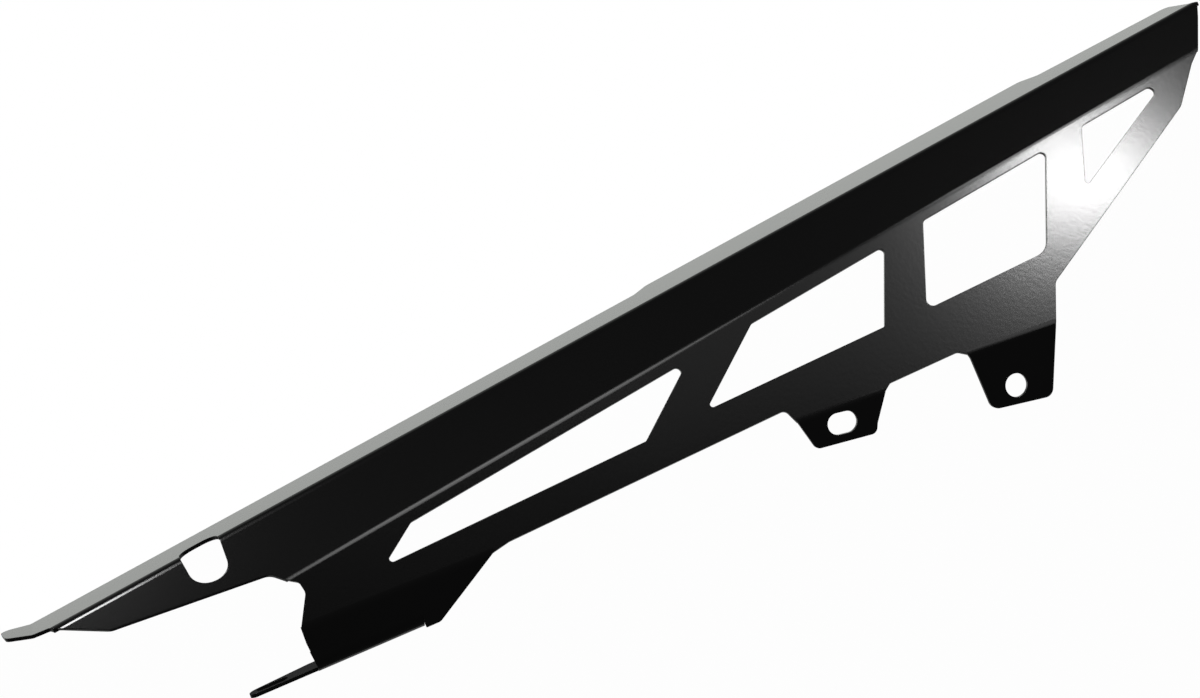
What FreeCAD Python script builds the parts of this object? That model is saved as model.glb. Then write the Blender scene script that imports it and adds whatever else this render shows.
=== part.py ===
"""Motorcycle chain guard: one laser-cut steel sheet, folded along the chain line.

Frame: millimetres, +Z up and square to the top flange, +Y inward over the chain,
+X toward the rear. The origin is the round rear mounting hole, on the face of its tab.
"""
import FreeCAD, Part
import math
import os

from FreeCAD import Matrix, Placement, Vector

# Sheet and its folds
SHEET_THICKNESS = 1.5
BEND_INNER_RADIUS = 5.0
BEND_OUTER_RADIUS = BEND_INNER_RADIUS + SHEET_THICKNESS

# Where the folded faces stand: heights and inward reach are at the rear hole
FLANGE_HEIGHT = 96.8
FLANGE_CREASE_INWARD = 48.9
CHAIN_LINE_YAW = 4.2
FLANGE_FOLD = 43.4
LOWER_FACE_LEAN = 27.0
TAB_CREASE_FALL = 9.25
TAB_CREASE_HEIGHT = 19.9
FRONT_TAB_STAND_OUT = 1.5
FOOT_FACE_YAW = 1.0
FOOT_FLANGE_HEIGHT = 4.3
FOOT_FLANGE_FALL = 5.95

# Mounting holes
REAR_HOLE_DIAMETER = 10.0
FRONT_SLOT_WIDTH = 9.0
FRONT_SLOT_LENGTH = 13.0
FRONT_SLOT_X = -75.5
FRONT_SLOT_Z = 22.4
FRONT_SLOT_FALL = 15.0
FOOT_SLOT_WIDTH = 5.0
FOOT_SLOT_LENGTH = 13.0
FOOT_SLOT_ALONG = -328.6
FOOT_SLOT_INWARD = 10.2

# Front tip of the flange, kinked upward
TIP_KINK_X = -398.8
TIP_RISE = 15.0

# Flat lengths kept beside each fold, where the folded pieces meet the faces
BAND_LEG = 8.0
ROOT_LEG = 4.0
TIP_LEG = 5.0
FOOT_LEG = 3.0

# Cutting depths: half of a hole's, and that from a face to behind its bends
CUT_HALF_DEPTH = 4.0
REACH = BEND_OUTER_RADIUS + SHEET_THICKNESS

# Generous strip sizes, which the outlines trim: spans along a crease, then leg lengths
LONG_STRIP_START = -420.0
LONG_STRIP_END = 200.0
FOOT_STRIP_START = -350.0
FOOT_STRIP_END = -240.0
BAND_STRIP_LEG = 45.0
LOWER_STRIP_LEG = 80.0
FOOT_STRIP_LEG = 30.0
FRONT_TAB_STRIP_LEG = 30.0
REAR_TAB_STRIP_LEG = 45.0
FOOT_PLATE_HEIGHT = 30.0
TIP_REACH = 30.0

# Each outline below is a list of (along the face, across the face, corner radius)

# Top flange: across is the distance inward from its crease
CREASE_FRONT = -391.5
CREASE_REAR = 174.9
FLANGE_WIDTH = 28.4
FLANGE_WIDE = 34.0
FLANGE_OUTLINE = [
    (CREASE_FRONT, 0.0, 0.0),
    (-392.8, 3.3, 0.0),
    (-408.9, 12.6, 4.0),
    (-409.6, FLANGE_WIDTH, 5.0),
    (-113.5, FLANGE_WIDTH, 5.0),
    (-105.5, FLANGE_WIDE, 5.0),
    (95.3, FLANGE_WIDE, 2.5),
    (101.8, 26.6, 3.5),
    (172.0, 22.0, 3.5),
    (172.5, 3.0, 3.0),
    (CREASE_REAR, 0.0, 0.0),
]

# Upper band: across is the height up its face, minus below the flange crease
BAND_FRONT_EDGE = [
    (-373.0, -13.9, 6.0),
    (-310.6, -27.0, 6.0),
]
BAND_REAR_EDGE = [
    (168.6, -8.0, 0.0),
]

# Lower face: across is minus below the second crease
SECOND_CREASE_FRONT = -304.8
SECOND_CREASE_REAR = 157.1
LOWER_FRONT_EDGE = [
    (-301.0, -3.4, 2.0),
    (-300.9, -8.0, 4.0),
]
LOWER_EDGE_BEHIND_FOOT = [
    (-222.5, -31.9, 0.0),
    (-97.0, -43.6, 2.5),
]
LOWER_EDGE_BETWEEN_TABS = [
    (-52.6, -56.4, 2.0),
    (-20.4, -59.9, 3.0),
]
LOWER_REAR_EDGE = [
    (34.4, -56.0, 5.0),
    (132.9, -18.3, 8.0),
    (150.0, -4.3, 6.0),
]

# Pieces folded down to the mounting faces: X where each meets its crease
FOOT_CREASE_ENDS = (-307.4, -227.2)
FRONT_TAB_CREASE_ENDS = (-92.6, -53.0)
REAR_TAB_CREASE_ENDS = (-14.0, 27.2)

# X where the bend under the foot begins and ends
FOOT_BEND_ENDS = (-308.6, -264.3)

# Their free edges: along X, and across is the height Z
FOOT_EDGE = [
    (-308.3, 50.0, 0.0),
    (FOOT_BEND_ENDS[0], 36.3, 0.0),
    (FOOT_BEND_ENDS[1], 32.3, 0.0),
    (-258.4, 31.7, 3.5),
]
FRONT_TAB_EDGE = [
    (-90.0, 17.8, 3.0),
    (-64.0, 11.5, 3.0),
    (-61.9, 15.2, 5.0),
]
REAR_TAB_EDGE = [
    (-13.4, 19.5, 4.0),
    (-13.9, -4.4, 4.5),
    (12.7, -11.8, 4.0),
]

# Foot flange, which runs on past its bend as a tongue: across is minus the distance
# inward from the foot's face
FOOT_FLANGE_WIDTH = 17.0
TONGUE_OUTLINE = [
    (-338.1, -BEND_OUTER_RADIUS, 2.5),
    (-338.1, -12.4, 3.5),
    (-312.3, -FOOT_FLANGE_WIDTH, 3.0),
]

# Windows in the lower face
WINDOWS = [
    [(-270.0, -15.0, 1.4), (-251.5, -5.1, 2.0), (-119.3, -5.1, 1.9), (-153.3, -25.3, 1.2)],
    [(-125.0, -27.1, 1.2), (-87.4, -5.2, 2.0), (-19.2, -5.2, 1.8), (-40.4, -35.0, 1.5)],
    [(-20.6, -37.9, 2.7), (1.9, -4.2, 3.5), (68.1, -4.2, 2.0), (39.6, -42.8, 9.0)],
    [(72.1, -27.9, 1.1), (88.4, -3.4, 4.0), (137.5, -3.4, 2.3)],
]

# Clearance hole over the flange crease: its halves below and above that crease
CLEARANCE_FRONT = -336.3
CLEARANCE_REAR = -319.1
CLEARANCE_BELOW = [
    (CLEARANCE_FRONT, 0.0, 0.0),
    (-336.8, -16.5, 8.0),
    (-322.5, -18.4, 7.0),
    (CLEARANCE_REAR, 0.0, 0.0),
]
CLEARANCE_ABOVE = [
    (CLEARANCE_FRONT, 0.0, 0.0),
    (-335.6, 9.2, 6.5),
    (-319.8, 9.2, 6.5),
    (CLEARANCE_REAR, 0.0, 0.0),
]


class Face:
    """A flat face of the sheet: its outer side, with two directions in it."""

    def __init__(self, origin, along, across):
        self.origin = origin
        self.along = along.normalize()
        self.across = across.normalize()
        self.normal = self.along.cross(self.across)

    def world(self, along, across):
        """Point of the face at two distances from its origin."""
        return self.origin + self.along * along + self.across * across

    def local(self, point):
        """Distances along and across the face of a point on it."""
        offset = point - self.origin
        return offset.dot(self.along), offset.dot(self.across)

    def placement(self):
        """Placement that carries a flat drawing onto the face."""
        x, y, z, o = self.along, self.across, self.normal, self.origin
        return Placement(Matrix(x.x, y.x, z.x, o.x, x.y, y.y, z.y, o.y, x.z, y.z, z.z, o.z))


class Crease:
    """The sharp line where the outer sides of two faces would meet."""

    def __init__(self, upper, lower):
        self.upper = upper
        self.lower = lower
        self.axis = upper.normal.cross(lower.normal).normalize()
        if self.axis.x < 0:
            self.axis = self.axis * -1
        self.base = self.point_where(Vector(1, 0, 0), 0.0)

    def point_where(self, direction, distance):
        """Point of the crease with a given distance in one direction."""
        rows = [self.upper.normal, self.lower.normal, direction]
        sums = [self.upper.normal.dot(self.upper.origin), self.lower.normal.dot(self.lower.origin), distance]
        total = rows[1].cross(rows[2]) * sums[0]
        total += rows[2].cross(rows[0]) * sums[1]
        total += rows[0].cross(rows[1]) * sums[2]
        return total * (1.0 / rows[0].dot(rows[1].cross(rows[2])))

    def at_x(self, face, x):
        """Outline point of a face where the crease passes a given X."""
        along, across = face.local(self.point_where(Vector(1, 0, 0), x))
        return along, across, 0.0


def direction(yaw, fall=0.0):
    """Unit vector toward the rear, turned inward by yaw and falling by fall degrees."""
    turn = math.radians(yaw)
    drop = math.radians(fall)
    return Vector(math.cos(turn) * math.cos(drop), math.sin(turn) * math.cos(drop), -math.sin(drop))


def rounded_face(outline):
    """Flat face inside an outline whose corners may be rounded."""
    ways = []
    count = len(outline)
    for index, (x, y, radius) in enumerate(outline):
        corner = Vector(x, y, 0)
        before = Vector(outline[index - 1][0], outline[index - 1][1], 0)
        after = Vector(outline[(index + 1) % count][0], outline[(index + 1) % count][1], 0)
        if radius == 0.0:
            ways.append((corner, None, corner))
            continue
        back = (before - corner).normalize()
        ahead = (after - corner).normalize()
        half = back.getAngle(ahead) / 2.0
        reach = radius / math.tan(half)
        middle = (back + ahead).normalize()
        nearest = corner + middle * (radius / math.sin(half) - radius)
        ways.append((corner + back * reach, nearest, corner + ahead * reach))
    edges = []
    for index, (start, nearest, end) in enumerate(ways):
        if nearest is not None:
            edges.append(Part.Arc(start, nearest, end).toShape())
        following = ways[(index + 1) % count][0]
        if (following - end).Length > 1e-6:
            edges.append(Part.makeLine(end, following))
    return Part.Face(Part.Wire(edges))


def through_face(face, outline, outside, inside):
    """Solid that runs square through a face, over an outline on it."""
    flat = rounded_face(outline)
    flat.translate(Vector(0, 0, -inside))
    solid = flat.extrude(Vector(0, 0, outside + inside))
    solid.Placement = face.placement()
    return solid


def keep(face, outline):
    """Region that a face and the bends beside it may fill."""
    return through_face(face, outline, SHEET_THICKNESS, REACH)


def folded_strip(apex, axis, normals, legs, length):
    """Strip of sheet with one true bend between two flat legs.

    The outer sides of the legs would meet on the line through apex along axis. The first
    leg lies on the side of normals[0] x axis, the second on the side of axis x normals[1].
    """
    toward = (normals[0].cross(axis), axis.cross(normals[1]))
    fold = normals[0].getAngle(normals[1])
    tangent = BEND_OUTER_RADIUS * math.tan(fold / 2.0)
    centre = apex + toward[0] * tangent - normals[0] * BEND_OUTER_RADIUS
    middle = (normals[0] + normals[1]).normalize()
    outer = [apex + toward[0] * (tangent + legs[0]), apex + toward[0] * tangent,
             apex + toward[1] * tangent, apex + toward[1] * (tangent + legs[1])]
    inner = [outer[0] - normals[0] * SHEET_THICKNESS, outer[1] - normals[0] * SHEET_THICKNESS,
             outer[2] - normals[1] * SHEET_THICKNESS, outer[3] - normals[1] * SHEET_THICKNESS]
    edges = [
        Part.makeLine(outer[0], outer[1]),
        Part.Arc(outer[1], centre + middle * BEND_OUTER_RADIUS, outer[2]).toShape(),
        Part.makeLine(outer[2], outer[3]),
        Part.makeLine(outer[3], inner[3]),
        Part.makeLine(inner[3], inner[2]),
        Part.Arc(inner[2], centre + middle * BEND_INNER_RADIUS, inner[1]).toShape(),
        Part.makeLine(inner[1], inner[0]),
        Part.makeLine(inner[0], outer[0]),
    ]
    return Part.Face(Part.Wire(edges)).extrude(axis * length)


def strip_on(crease, legs, start, end):
    """Folded strip on a crease, between two distances along it from X = 0."""
    normals = (crease.upper.normal, crease.lower.normal)
    return folded_strip(crease.base + crease.axis * start, crease.axis, normals, legs, end - start)


def fold_tangent(crease):
    """Distance from a crease to where its bend turns flat."""
    fold = crease.upper.normal.getAngle(crease.lower.normal)
    return BEND_OUTER_RADIUS * math.tan(fold / 2.0)


def past_leg(crease, face, leg, start, end, reach):
    """Box over a face from the end of one leg, back over the crease and past it."""
    inward = face.normal.cross(crease.axis)
    if face is crease.lower:
        inward = inward * -1
    near = fold_tangent(crease) + leg
    outline = [(start, -reach, 0.0), (end, -reach, 0.0), (end, near, 0.0), (start, near, 0.0)]
    return through_face(Face(crease.base, crease.axis, inward), outline, CUT_HALF_DEPTH, CUT_HALF_DEPTH)


def slot_through(face, along, across, length, width, fall):
    """Round-ended slot through a face, its long axis falling toward the rear by fall degrees."""
    radius = width / 2
    half = length / 2 - radius
    edges = [
        Part.makeLine(Vector(-half, -radius, 0), Vector(half, -radius, 0)),
        Part.Arc(Vector(half, -radius, 0), Vector(half + radius, 0, 0), Vector(half, radius, 0)).toShape(),
        Part.makeLine(Vector(half, radius, 0), Vector(-half, radius, 0)),
        Part.Arc(Vector(-half, radius, 0), Vector(-half - radius, 0, 0), Vector(-half, -radius, 0)).toShape(),
    ]
    slot = Part.Face(Part.Wire(edges)).extrude(Vector(0, 0, 2 * CUT_HALF_DEPTH))
    slot.translate(Vector(0, 0, -CUT_HALF_DEPTH))
    slot.rotate(Vector(0, 0, 0), Vector(0, 0, 1), -fall)
    slot.translate(Vector(along, across, 0))
    slot.Placement = face.placement().multiply(slot.Placement)
    return slot


def build_faces():
    """The seven flat faces of the sheet, by name."""
    up = Vector(0, 0, 1)
    chain = direction(CHAIN_LINE_YAW)
    crease = Vector(0, FLANGE_CREASE_INWARD, FLANGE_HEIGHT)
    flange = Face(crease, chain, up.cross(chain))

    fold = math.radians(FLANGE_FOLD)
    band_up = flange.across * math.cos(fold) + up * math.sin(fold)
    band = Face(crease, chain, band_up)

    lean = math.radians(LOWER_FACE_LEAN)
    fall_line = direction(0.0, TAB_CREASE_FALL)
    square_up = Vector(0, -1, 0).cross(fall_line)
    slope_up = square_up * math.cos(lean) + Vector(0, 1, 0) * math.sin(lean)
    tilted = Face(Vector(0, 0, TAB_CREASE_HEIGHT), fall_line, slope_up)
    second = Crease(band, tilted)
    lower = Face(second.base, second.axis, tilted.normal.cross(second.axis))

    rear = Face(Vector(0, 0, 0), direction(0.0), up)
    front = Face(Vector(0, -FRONT_TAB_STAND_OUT, 0), direction(0.0), up)
    foot = Face(Vector(0, -FRONT_TAB_STAND_OUT, 0), direction(FOOT_FACE_YAW), up)
    foot_line = direction(FOOT_FACE_YAW, FOOT_FLANGE_FALL)
    under = Face(foot.origin + up * FOOT_FLANGE_HEIGHT, foot_line, foot.normal)
    return {"flange": flange, "band": band, "lower": lower, "rear": rear,
            "front": front, "foot": foot, "under": under}


def build_flange_and_band(faces, creases):
    """Top flange with its front tip, folded to the head of the upper band."""
    flange_region = keep(faces["flange"], FLANGE_OUTLINE)
    band_region = keep(faces["band"], band_outline(creases))
    strip = strip_on(creases["first"], (FLANGE_WIDE, BAND_LEG), LONG_STRIP_START, LONG_STRIP_END)
    body = strip.common(flange_region.fuse(band_region))
    corner = Vector(TIP_KINK_X + TIP_LEG - TIP_REACH, -TIP_REACH, FLANGE_HEIGHT - TIP_REACH)
    body = body.cut(Part.makeBox(TIP_REACH, 3 * TIP_REACH, 2 * TIP_REACH, corner))

    rise = math.radians(TIP_RISE)
    normals = (Vector(0, 0, -1), Vector(-math.sin(rise), 0, -math.cos(rise)))
    tangent = BEND_OUTER_RADIUS * math.tan(rise / 2.0)
    apex = Vector(TIP_KINK_X, 0, FLANGE_HEIGHT - SHEET_THICKNESS)
    tip = folded_strip(apex, Vector(0, 1, 0), normals, (TIP_LEG - tangent, TIP_REACH), 2 * TIP_REACH)
    tall_region = through_face(faces["flange"], FLANGE_OUTLINE, TIP_REACH, TIP_REACH)
    return body.fuse(tip.common(tall_region))


def band_outline(creases):
    """Outline of the upper band, between its two creases."""
    second, band = creases["second"], creases["second"].upper
    front = band.local(second.lower.world(SECOND_CREASE_FRONT, 0.0))
    rear = band.local(second.lower.world(SECOND_CREASE_REAR, 0.0))
    outline = [(CREASE_FRONT, 0.0, 0.0)] + BAND_FRONT_EDGE
    outline += [(front[0], front[1], 0.0), (rear[0], rear[1], 0.0)]
    return outline + BAND_REAR_EDGE + [(CREASE_REAR, 0.0, 0.0)]


def lower_outline(creases):
    """Outline of the lower face, down to the three creases under it."""
    lower = creases["second"].lower
    outline = [(SECOND_CREASE_FRONT, 0.0, 0.0)] + LOWER_FRONT_EDGE
    outline += [creases["foot"].at_x(lower, x) for x in FOOT_CREASE_ENDS] + LOWER_EDGE_BEHIND_FOOT
    outline += [creases["front"].at_x(lower, x) for x in FRONT_TAB_CREASE_ENDS] + LOWER_EDGE_BETWEEN_TABS
    outline += [creases["rear"].at_x(lower, x) for x in REAR_TAB_CREASE_ENDS] + LOWER_REAR_EDGE
    return outline + [(SECOND_CREASE_REAR, 0.0, 0.0)]


def folded_piece(creases, name, ends, edge, length):
    """A piece folded down from the lower face, with its root on that face."""
    crease = creases[name]
    start = ends[0] / crease.axis.x
    end = ends[1] / crease.axis.x
    outline = [crease.at_x(crease.lower, ends[0])] + edge + [crease.at_x(crease.lower, ends[1])]
    region = keep(crease.upper, lower_outline(creases)).fuse(keep(crease.lower, outline))
    piece = strip_on(crease, (ROOT_LEG, length), start, end).common(region)
    return piece, past_leg(crease, crease.upper, ROOT_LEG, start, end, length)


def build_lower_face(creases):
    """Lower part of the band, the lower face, both tabs and the foot's plate."""
    region = keep(creases["second"].upper, band_outline(creases))
    region = region.fuse(keep(creases["second"].lower, lower_outline(creases)))
    legs = (BAND_STRIP_LEG, LOWER_STRIP_LEG)
    body = strip_on(creases["second"], legs, LONG_STRIP_START, LONG_STRIP_END).common(region)
    first = creases["first"]
    body = body.cut(past_leg(first, first.lower, BAND_LEG, LONG_STRIP_START, LONG_STRIP_END, BAND_STRIP_LEG))
    pieces = []
    for name, ends, edge, length in (
            ("foot", FOOT_CREASE_ENDS, FOOT_EDGE, FOOT_STRIP_LEG),
            ("front", FRONT_TAB_CREASE_ENDS, FRONT_TAB_EDGE, FRONT_TAB_STRIP_LEG),
            ("rear", REAR_TAB_CREASE_ENDS, REAR_TAB_EDGE, REAR_TAB_STRIP_LEG)):
        piece, clearing = folded_piece(creases, name, ends, edge, length)
        body = body.cut(clearing)
        pieces.append(piece)
    return body.multiFuse(pieces)


def build_foot_flange(creases):
    """Inward flange under the foot, and the tongue that runs on past its front edge."""
    crease = creases["under"]
    front_top, rear_top = [crease.at_x(crease.upper, x) for x in FOOT_BEND_ENDS]
    front, rear = [crease.at_x(crease.lower, x) for x in FOOT_BEND_ENDS]
    fall = math.radians(FOOT_FLANGE_FALL)
    head = rear_top[1] + FOOT_PLATE_HEIGHT * math.cos(fall)
    rear_head = (rear_top[0] + FOOT_PLATE_HEIGHT * math.sin(fall), head, 0.0)
    plate = [front_top, rear_top, rear_head, (front_top[0], head, 0.0)]
    flange = [front, (front[0], -BEND_OUTER_RADIUS, 0.0)] + TONGUE_OUTLINE
    flange += [(rear[0], -FOOT_FLANGE_WIDTH, 4.0), rear]
    region = keep(crease.upper, plate).fuse(keep(crease.lower, flange))
    legs = (FOOT_LEG, FOOT_FLANGE_WIDTH)
    return strip_on(crease, legs, FOOT_STRIP_START, FOOT_STRIP_END).common(region)


def build_holes(faces):
    """Windows, clearance hole and mounting holes, as solids to take away."""
    holes = [through_face(faces["lower"], window, CUT_HALF_DEPTH, CUT_HALF_DEPTH) for window in WINDOWS]
    holes.append(through_face(faces["band"], CLEARANCE_BELOW, SHEET_THICKNESS, REACH))
    holes.append(through_face(faces["flange"], CLEARANCE_ABOVE, SHEET_THICKNESS, REACH))
    holes.append(Part.makeCylinder(REAR_HOLE_DIAMETER / 2, 2 * REACH, Vector(0, -REACH, 0), Vector(0, 1, 0)))
    holes.append(slot_through(faces["front"], FRONT_SLOT_X, FRONT_SLOT_Z,
                              FRONT_SLOT_LENGTH, FRONT_SLOT_WIDTH, FRONT_SLOT_FALL))
    holes.append(slot_through(faces["under"], FOOT_SLOT_ALONG, -FOOT_SLOT_INWARD,
                              FOOT_SLOT_LENGTH, FOOT_SLOT_WIDTH, 0.0))
    return holes


def build_guard():
    """The whole guard as one solid."""
    faces = build_faces()
    creases = {
        "first": Crease(faces["flange"], faces["band"]),
        "second": Crease(faces["band"], faces["lower"]),
        "foot": Crease(faces["lower"], faces["foot"]),
        "front": Crease(faces["lower"], faces["front"]),
        "rear": Crease(faces["lower"], faces["rear"]),
        "under": Crease(faces["foot"], faces["under"]),
    }
    body = build_flange_and_band(faces, creases)
    body = body.fuse(build_lower_face(creases))
    under = creases["under"]
    bend_rear = under.at_x(under.lower, FOOT_BEND_ENDS[1])[0]
    foot_base = past_leg(under, under.upper, FOOT_LEG, FOOT_STRIP_START, bend_rear, FOOT_PLATE_HEIGHT)
    body = body.cut(foot_base)
    body = body.fuse(build_foot_flange(creases))
    for hole in build_holes(faces):
        body = body.cut(hole)
    return body.removeSplitter()


def main():
    """Write the guard to its STEP file."""
    os.makedirs("parts", exist_ok=True)
    guard = build_guard()
    print("solids", len(guard.Solids), "valid", guard.isValid(), "volume", round(guard.Volume, 1))
    guard.Solids[0].exportStep("parts/chain_guard.step")


main()
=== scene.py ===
"""Studio picture of a folded motorcycle chain guard in black powder coat.

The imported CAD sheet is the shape. This script gives it a powder coat that rounds over
its cut edges, and sets up the studio: a pale table, a backdrop, softboxes and the camera.
All lengths are in metres unless a name ends in _mm.
"""

import logging
import math
from dataclasses import dataclass
from enum import Enum

import bpy
from mathutils import Matrix, Vector


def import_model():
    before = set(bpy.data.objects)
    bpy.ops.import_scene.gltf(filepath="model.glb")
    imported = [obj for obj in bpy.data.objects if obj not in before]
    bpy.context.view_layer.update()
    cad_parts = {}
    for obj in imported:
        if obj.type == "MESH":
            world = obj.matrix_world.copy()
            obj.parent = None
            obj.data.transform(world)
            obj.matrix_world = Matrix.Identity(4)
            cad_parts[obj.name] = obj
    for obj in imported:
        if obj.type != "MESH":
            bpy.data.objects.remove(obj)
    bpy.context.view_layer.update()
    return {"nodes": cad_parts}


LOG = logging.getLogger("chain_guard")

GUARD_NODE = "chain_guard"
MM = 0.001

# The sRGB curve: straight up to its threshold, then a power of the offset value.
SRGB_THRESHOLD = 0.04045
SRGB_SLOPE = 12.92
SRGB_OFFSET = 0.055
SRGB_POWER = 2.4

# Octaves of the two noise patterns in the coat, and how much each octave adds.
PEEL_DETAIL = 1.5
GRAIN_DETAIL = 1.0
OCTAVE_SHARE = 0.5

# Rays that the edge rounding sends out at each point.
EDGE_SAMPLES = 6

# A rectangular lamp of this energy for each square metre has a brightness of 1.
ENERGY_PER_SQUARE_METRE = 4.0

SENSOR_WIDTH_MM = 36.0
NEAREST_SEEN = 0.01

WHITE = "ffffff"

Point = tuple[float, float, float]


class EdgeRounding(Enum):
    """How the finish turns over a cut edge of the sheet, as a radius in millimetres."""

    # The photo doesn't give this radius. It was picked.
    POWDER_COATED = 0.4


class Seen(Enum):
    """Which rays a studio surface answers with its glow."""

    CAMERA = "Is Camera Ray"


@dataclass(frozen=True)
class PowderCoat:
    """Cured powder coat on steel: one glossy film that shrinks into orange peel.

    Args:
        colour: sRGB hex of the pigment.
        roughness: Micro-roughness of the film.
        peel_size_mm: Distance between two bumps of the orange peel.
        peel_depth_mm: Height of those bumps.
        grain_size_mm: Distance between two grains of the finer texture.
        grain_depth_mm: Height of those grains.
    """

    colour: str
    roughness: float
    peel_size_mm: float
    peel_depth_mm: float
    grain_size_mm: float
    grain_depth_mm: float


@dataclass(frozen=True)
class StudioSurface:
    """Finish of a sheet or board that stands around the guard.

    Args:
        name: Material name.
        colour: sRGB hex of the surface.
    """

    name: str
    colour: str


@dataclass(frozen=True)
class Softbox:
    """A studio lamp with a flat diffuser.

    Args:
        name: Object name.
        aim: Point that the diffuser faces, and from which its direction is measured.
        direction: Direction from the aim to the lamp.
        distance: Distance from the aim to the lamp.
        width: Size of the diffuser along its local X.
        height: Size of the diffuser along its local Y.
        level: Brightness of the diffuser, where 1 is white.
        roll: Turn of the diffuser about its own axis, in degrees.
    """

    name: str
    aim: Point
    direction: Point
    distance: float
    width: float
    height: float
    level: float
    roll: float = 0.0


@dataclass(frozen=True)
class View:
    """Camera position and its own axes.

    Args:
        position: Where the lens is.
        right: Direction to the right in the picture.
        up: Direction to the top of the picture.
        lens_mm: Focal length on a sensor of SENSOR_WIDTH_MM.
    """

    position: Point
    right: Point
    up: Point
    lens_mm: float


# Black powder coat, sprayed on dry and baked. To the eye it is a deep black that mirrors
# the lamps, with highlights that break up softly on the orange peel. The fine grain is
# drawn coarser than a real coat's, which is well under half a millimetre: at 0.7 mm it
# is just over a pixel of a 1024-pixel render, and finer grain wouldn't show.
BLACK_COAT = PowderCoat(
    colour="0d0d0d",
    roughness=0.15,
    peel_size_mm=1.8,
    peel_depth_mm=0.0085,
    grain_size_mm=0.7,
    grain_depth_mm=0.002,
)

# Matt laminate on the table: a pale, even surface without a reflection.
TABLE_LAMINATE = StudioSurface("white_laminate", "e8e8e8")
# Backdrop paper with a faint green cast. Its glow is painted light, and the top flange mirrors it,
# which gives the flange its grey-green tone.
BACKDROP_PAPER = StudioSurface("white_paper", "fcfffb")
# Matt card: a plain grey, darker than the white backdrop that it hides from the tongue.
GREY_CARD = StudioSurface("grey_card", "b0b0b0")

PHOTO_VIEW = View(
    position=(-0.3373, -0.9156, 0.2797),
    right=(0.8663, -0.2599, -0.4267),
    up=(0.4604, 0.0839, 0.8837),
    lens_mm=72.0,
)

REAR_END = (0.11, 0.035, 0.07)
MID_BEND = (-0.18, 0.03, 0.08)
FRONT_TIP = (-0.39, 0.02, 0.095)

# Placed from the directions that the photo's highlights reflect. The sizes and levels
# are fitted to the photo's tones, so they aren't known to be the real studio's.
SOFTBOXES = (
    Softbox("key_core", REAR_END, (0.505, -0.658, 0.559), 1.6, 0.14, 0.08, 50.0, -43.0),
    Softbox("key_strip", REAR_END, (0.491, -0.541, 0.683), 1.6, 0.07, 0.41, 32.0, -27.0),
    Softbox("key_top", REAR_END, (0.460, -0.330, 0.826), 1.6, 0.22, 0.36, 4.2, -42.0),
    Softbox("side_fill", REAR_END, (0.300, -0.655, 0.690), 1.6, 0.45, 0.48, 0.18, -21.0),
    Softbox("low_fill", REAR_END, (0.420, -0.850, 0.300), 1.6, 0.24, 0.70, 0.9),
    Softbox("upper_box", MID_BEND, (0.225, -0.530, 0.818), 1.6, 0.56, 0.56, 2.1, -40.0),
    Softbox("upper_glow", MID_BEND, (0.200, -0.400, 0.895), 1.6, 0.47, 0.36, 1.0, -37.0),
    Softbox("overhead_box", FRONT_TIP, (0.015, 0.088, 0.996), 1.6, 0.14, 0.41, 22.0, 16.0),
)


def linear(hex_colour: str) -> tuple[float, float, float, float]:
    """Convert an sRGB hex colour to linear values.

    Args:
        hex_colour: Six hex digits, without a leading sign.

    Returns:
        Red, green, blue and alpha, linear.
    """
    channels = []
    for start in (0, 2, 4):
        value = int(hex_colour[start:start + 2], 16) / 255.0
        if value <= SRGB_THRESHOLD:
            channels.append(value / SRGB_SLOPE)
        else:
            channels.append(((value + SRGB_OFFSET) / (1.0 + SRGB_OFFSET)) ** SRGB_POWER)
    return channels[0], channels[1], channels[2], 1.0


def add_node(tree: bpy.types.NodeTree, kind: str, links: dict | None = None,
             **values) -> bpy.types.Node:
    """Add a shader node, set its properties and inputs, and link it.

    Args:
        tree: Node tree that takes the node.
        kind: Blender's type name of the node.
        links: Input name or number to the output socket that feeds it.
        **values: Property names, or input names with underscores for spaces.

    Returns:
        The new node.
    """
    node = tree.nodes.new(kind)
    for name, value in values.items():
        if hasattr(node, name):
            setattr(node, name, value)
        else:
            node.inputs[name.replace("_", " ")].default_value = value
    for socket, source in (links or {}).items():
        tree.links.new(source, node.inputs[socket])
    return node


def new_material(name: str) -> tuple[bpy.types.Material, bpy.types.NodeTree]:
    """Create an empty node material.

    Args:
        name: Material name.

    Returns:
        The material and its node tree.
    """
    material = bpy.data.materials.new(name)
    material.use_nodes = True
    material.node_tree.nodes.clear()
    return material, material.node_tree


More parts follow.
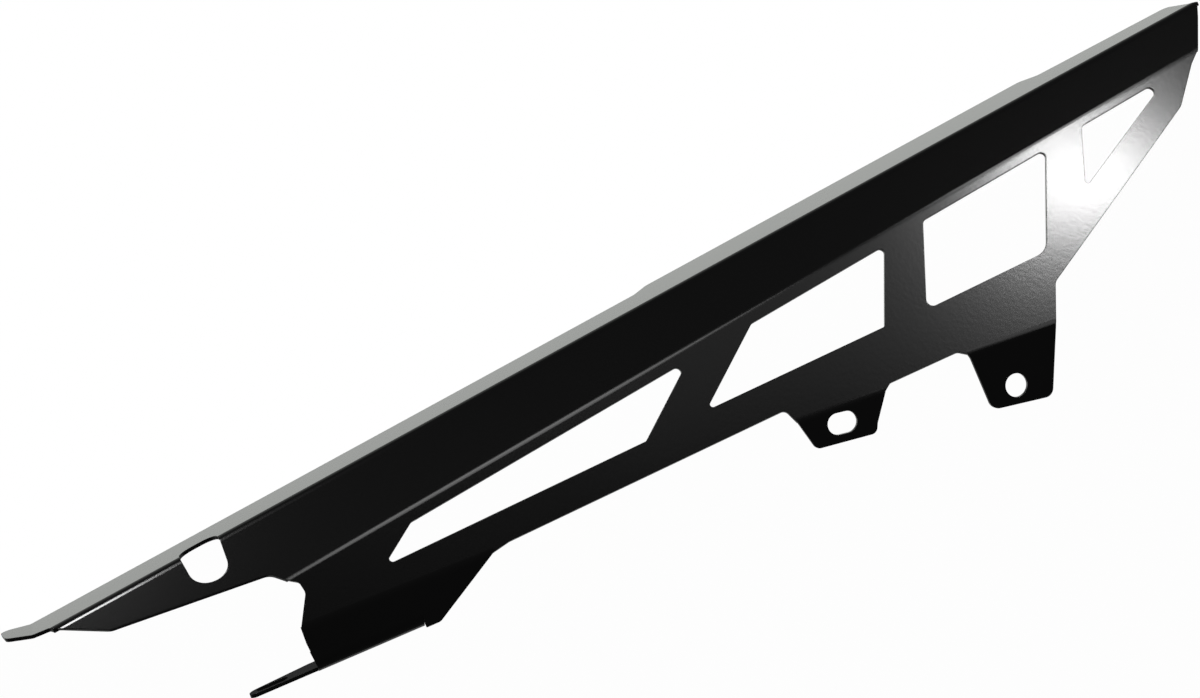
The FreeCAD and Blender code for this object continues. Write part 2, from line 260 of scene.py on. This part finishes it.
@dataclass
class ChainGuard:
    """The folded sheet in its finish.

    Args:
        coat: Finish of the sheet.
        rounding: How the finish turns over its cut edges.
    """

    coat: PowderCoat = BLACK_COAT
    rounding: EdgeRounding = EdgeRounding.POWDER_COATED

    def build(self, guard: bpy.types.Object) -> None:
        """Coat the sheet.

        Args:
            guard: The CAD sheet.
        """
        guard.data.materials.clear()
        guard.data.materials.append(self.powder_coat("black_powder_coat"))
        for polygon in guard.data.polygons:
            polygon.material_index = 0

    def powder_coat(self, name: str) -> bpy.types.Material:
        """Make the dark glossy film whose reflections break up on orange peel.

        Args:
            name: Material name.

        Returns:
            The material.
        """
        coat = self.coat
        material, tree = new_material(name)
        place = add_node(tree, "ShaderNodeTexCoord").outputs["Object"]
        peel = add_node(tree, "ShaderNodeTexNoise", {"Vector": place},
                        Scale=1.0 / (coat.peel_size_mm * MM),
                        Detail=PEEL_DETAIL, Roughness=OCTAVE_SHARE)
        grain = add_node(tree, "ShaderNodeTexNoise", {"Vector": place},
                         Scale=1.0 / (coat.grain_size_mm * MM),
                         Detail=GRAIN_DETAIL, Roughness=OCTAVE_SHARE)
        soft_edge = add_node(tree, "ShaderNodeBevel", samples=EDGE_SAMPLES,
                             Radius=self.rounding.value * MM)
        coarse = add_node(tree, "ShaderNodeBump",
                          {"Height": peel.outputs["Fac"], "Normal": soft_edge.outputs["Normal"]},
                          Distance=coat.peel_depth_mm * MM, Strength=1.0)
        fine = add_node(tree, "ShaderNodeBump",
                        {"Height": grain.outputs["Fac"], "Normal": coarse.outputs["Normal"]},
                        Distance=coat.grain_depth_mm * MM, Strength=1.0)
        film = add_node(tree, "ShaderNodeBsdfPrincipled", {"Normal": fine.outputs["Normal"]},
                        Base_Color=linear(coat.colour), Roughness=coat.roughness)
        add_node(tree, "ShaderNodeOutputMaterial", {"Surface": film.outputs["BSDF"]})
        return material


@dataclass
class Studio:
    """Pale table, backdrop, grey card, softboxes and camera around the guard.

    Args:
        view: Where the camera stands.
        softboxes: The lamps.
        table_drop: Height of the table below the mounting hole.
        table_front: Y of the table's front edge.
        table_glow: Share of the table that shows the camera plain white; the rest is lit.
        backdrop_y: Y of the backdrop.
        half_width: Half of the table's and the backdrop's width.
        backdrop_top: Height of the backdrop's top edge.
        painted_glow_stops: Heights on the backdrop, each with the brightness of its painted glow
            there.
        room_level: Brightness of the dark room around the table.
        flag_y: Y of the grey card.
        flag_span: X of the card's two ends.
        flag_heights: Z of the card's lower and upper edge.
    """

    view: View = PHOTO_VIEW
    softboxes: tuple[Softbox, ...] = SOFTBOXES
    table_drop: float = 0.26
    table_front: float = 0.12
    table_glow: float = 0.975
    backdrop_y: float = 1.9
    half_width: float = 2.6
    backdrop_top: float = 3.2
    # Painted glow of the backdrop: bright near the table, falling off with height.
    painted_glow_stops: tuple[tuple[float, float], ...] = (
        (0.60, 1.0), (0.78, 0.34), (1.45, 0.24), (2.10, 0.12), (3.20, 0.04))
    room_level: float = 0.05
    flag_y: float = 0.13
    flag_span: tuple[float, float] = (-0.45, -0.22)
    flag_heights: tuple[float, float] = (0.0, 0.1)

    def build(self) -> None:
        """Build every part of the studio."""
        self.build_table()
        self.build_backdrop()
        self.build_flag()
        for softbox in self.softboxes:
            self.build_softbox(softbox)
        self.build_room()
        self.build_camera()

    def panel(self, name: str, corners: list[Point]) -> bpy.types.Object:
        """Add a flat four-sided studio surface.

        Args:
            name: Object name.
            corners: Its corners in order.

        Returns:
            The new object.
        """
        mesh = bpy.data.meshes.new(name)
        mesh.from_pydata(corners, [], [(0, 1, 2, 3)])
        panel = bpy.data.objects.new(name, mesh)
        bpy.context.scene.collection.objects.link(panel)
        return panel

    def upright(self, name: str, span: tuple[float, float], y: float,
                heights: tuple[float, float]) -> bpy.types.Object:
        """Add an upright panel that faces along Y.

        Args:
            name: Object name.
            span: X of its two ends.
            y: Its Y.
            heights: Z of its lower and upper edge.

        Returns:
            The new object.
        """
        (start, end), (low, high) = span, heights
        return self.panel(name, [(start, y, low), (end, y, low), (end, y, high), (start, y, high)])

    def build_table(self) -> None:
        """Pale matt table: near white in the picture, with a trace of the guard's shadow."""
        low, front, back = -self.table_drop, self.table_front, self.backdrop_y
        side = self.half_width
        table = self.panel("table", [(-side, front, low), (side, front, low),
                                     (side, back, low), (-side, back, low)])
        material, tree = new_material(TABLE_LAMINATE.name)
        paint = add_node(tree, "ShaderNodeBsdfDiffuse", Color=linear(TABLE_LAMINATE.colour))
        glow = add_node(tree, "ShaderNodeEmission", Color=linear(WHITE), Strength=1.0)
        rays = add_node(tree, "ShaderNodeLightPath")
        share = add_node(tree, "ShaderNodeMath", {0: rays.outputs[Seen.CAMERA.value]},
                         operation="MULTIPLY")
        share.inputs[1].default_value = self.table_glow
        mixed = add_node(tree, "ShaderNodeMixShader",
                         {0: share.outputs[0], 1: paint.outputs[0], 2: glow.outputs[0]})
        add_node(tree, "ShaderNodeOutputMaterial", {"Surface": mixed.outputs[0]})
        table.data.materials.append(material)

    def build_backdrop(self) -> None:
        """Backdrop that glows with painted light: no lamp lights it, and its glow is
        painted bright near the table and falling off with height.

        Only the guard mirrors it: the camera sees past it, also from behind.
        """
        side, top = self.half_width, self.backdrop_top
        wall = self.upright("backdrop", (-side, side), self.backdrop_y, (-self.table_drop, top))
        material, tree = new_material(BACKDROP_PAPER.name)
        place = add_node(tree, "ShaderNodeTexCoord").outputs["Object"]
        height = add_node(tree, "ShaderNodeSeparateXYZ", {0: place}).outputs["Z"]
        reach = add_node(tree, "ShaderNodeMapRange", {"Value": height},
                         From_Min=0.0, From_Max=top)
        # The ramp paints the backdrop's light: bright at the bottom and dimmer towards the top.
        ramp = add_node(tree, "ShaderNodeValToRGB", {0: reach.outputs[0]})
        stops = ramp.color_ramp.elements
        # A new stop needs some position; its own is set just below.
        while len(stops) < len(self.painted_glow_stops):
            stops.new(0.5)
        for element, (stop, level) in zip(stops, self.painted_glow_stops):
            element.position = stop / top
            element.color = (level, level, level, 1.0)
        tint = add_node(tree, "ShaderNodeVectorMath", {0: ramp.outputs["Color"]},
                        operation="MULTIPLY")
        tint.inputs[1].default_value = linear(BACKDROP_PAPER.colour)[:3]
        paper = add_node(tree, "ShaderNodeEmission", {"Color": tint.outputs[0]}, Strength=1.0)
        add_node(tree, "ShaderNodeOutputMaterial", {"Surface": paper.outputs[0]})
        wall.data.materials.append(material)
        wall.visible_camera = False

    def build_flag(self) -> None:
        """Grey card behind the foot, hidden from the camera, that darkens the tongue's top."""
        flag = self.upright("flag", self.flag_span, self.flag_y, self.flag_heights)
        material, tree = new_material(GREY_CARD.name)
        card = add_node(tree, "ShaderNodeBsdfDiffuse", Color=linear(GREY_CARD.colour))
        add_node(tree, "ShaderNodeOutputMaterial", {"Surface": card.outputs[0]})
        flag.data.materials.append(material)
        flag.visible_camera = False

    def build_softbox(self, box: Softbox) -> None:
        """Add one softbox, aimed at its part of the guard.

        Args:
            box: Place, size and brightness of the lamp.
        """
        lamp = bpy.data.lights.new(box.name, "AREA")
        lamp.shape = "RECTANGLE"
        lamp.size = box.width
        lamp.size_y = box.height
        lamp.energy = ENERGY_PER_SQUARE_METRE * box.width * box.height * box.level
        holder = bpy.data.objects.new(box.name, lamp)
        bpy.context.scene.collection.objects.link(holder)
        away = Vector(box.direction).normalized()
        roll = Matrix.Rotation(math.radians(box.roll), 3, "Z").to_quaternion()
        turn = away.to_track_quat("Z", "Y") @ roll
        place = Matrix.Translation(Vector(box.aim) + away * box.distance)
        holder.matrix_world = place @ turn.to_matrix().to_4x4()

    def build_room(self) -> None:
        """Dark room around the table, which the camera alone sees as white.

        The guard mirrors the dark room, because its faces are black in the photo. If
        glossy rays saw the white too, those faces would turn dark grey.
        """
        world = bpy.data.worlds.new("room")
        world.use_nodes = True
        tree = world.node_tree
        tree.nodes.clear()
        rays = add_node(tree, "ShaderNodeLightPath")
        dark = add_node(tree, "ShaderNodeBackground", Color=linear(WHITE),
                        Strength=self.room_level)
        white = add_node(tree, "ShaderNodeBackground", Color=linear(WHITE), Strength=1.0)
        mixed = add_node(tree, "ShaderNodeMixShader",
                         {0: rays.outputs[Seen.CAMERA.value], 1: dark.outputs[0],
                          2: white.outputs[0]})
        add_node(tree, "ShaderNodeOutputWorld", {"Surface": mixed.outputs[0]})
        bpy.context.scene.world = world

    def build_camera(self) -> None:
        """Set the camera where the photograph was taken from."""
        data = bpy.data.cameras.new("camera")
        data.sensor_fit = "HORIZONTAL"
        data.sensor_width = SENSOR_WIDTH_MM
        data.lens = self.view.lens_mm
        data.clip_start = NEAREST_SEEN
        camera = bpy.data.objects.new("camera", data)
        bpy.context.scene.collection.objects.link(camera)
        right, up = Vector(self.view.right), Vector(self.view.up)
        back = right.cross(up).normalized()
        axes = Matrix((right, up, back)).transposed().to_4x4()
        camera.matrix_world = Matrix.Translation(Vector(self.view.position)) @ axes
        bpy.context.scene.camera = camera


def main() -> None:
    """Load the frame, dress the guard and light it."""
    logging.basicConfig(level=logging.INFO)
    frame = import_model()
    bpy.context.scene.view_settings.view_transform = "Standard"
    guard = frame["nodes"][GUARD_NODE]
    ChainGuard().build(guard)
    LOG.info("%s: coated, %d faces", GUARD_NODE, len(guard.data.polygons))
    studio = Studio()
    studio.build()
    LOG.info("studio: %d softboxes, table, backdrop, grey card, camera", len(studio.softboxes))


if __name__ == "__main__":
    main()
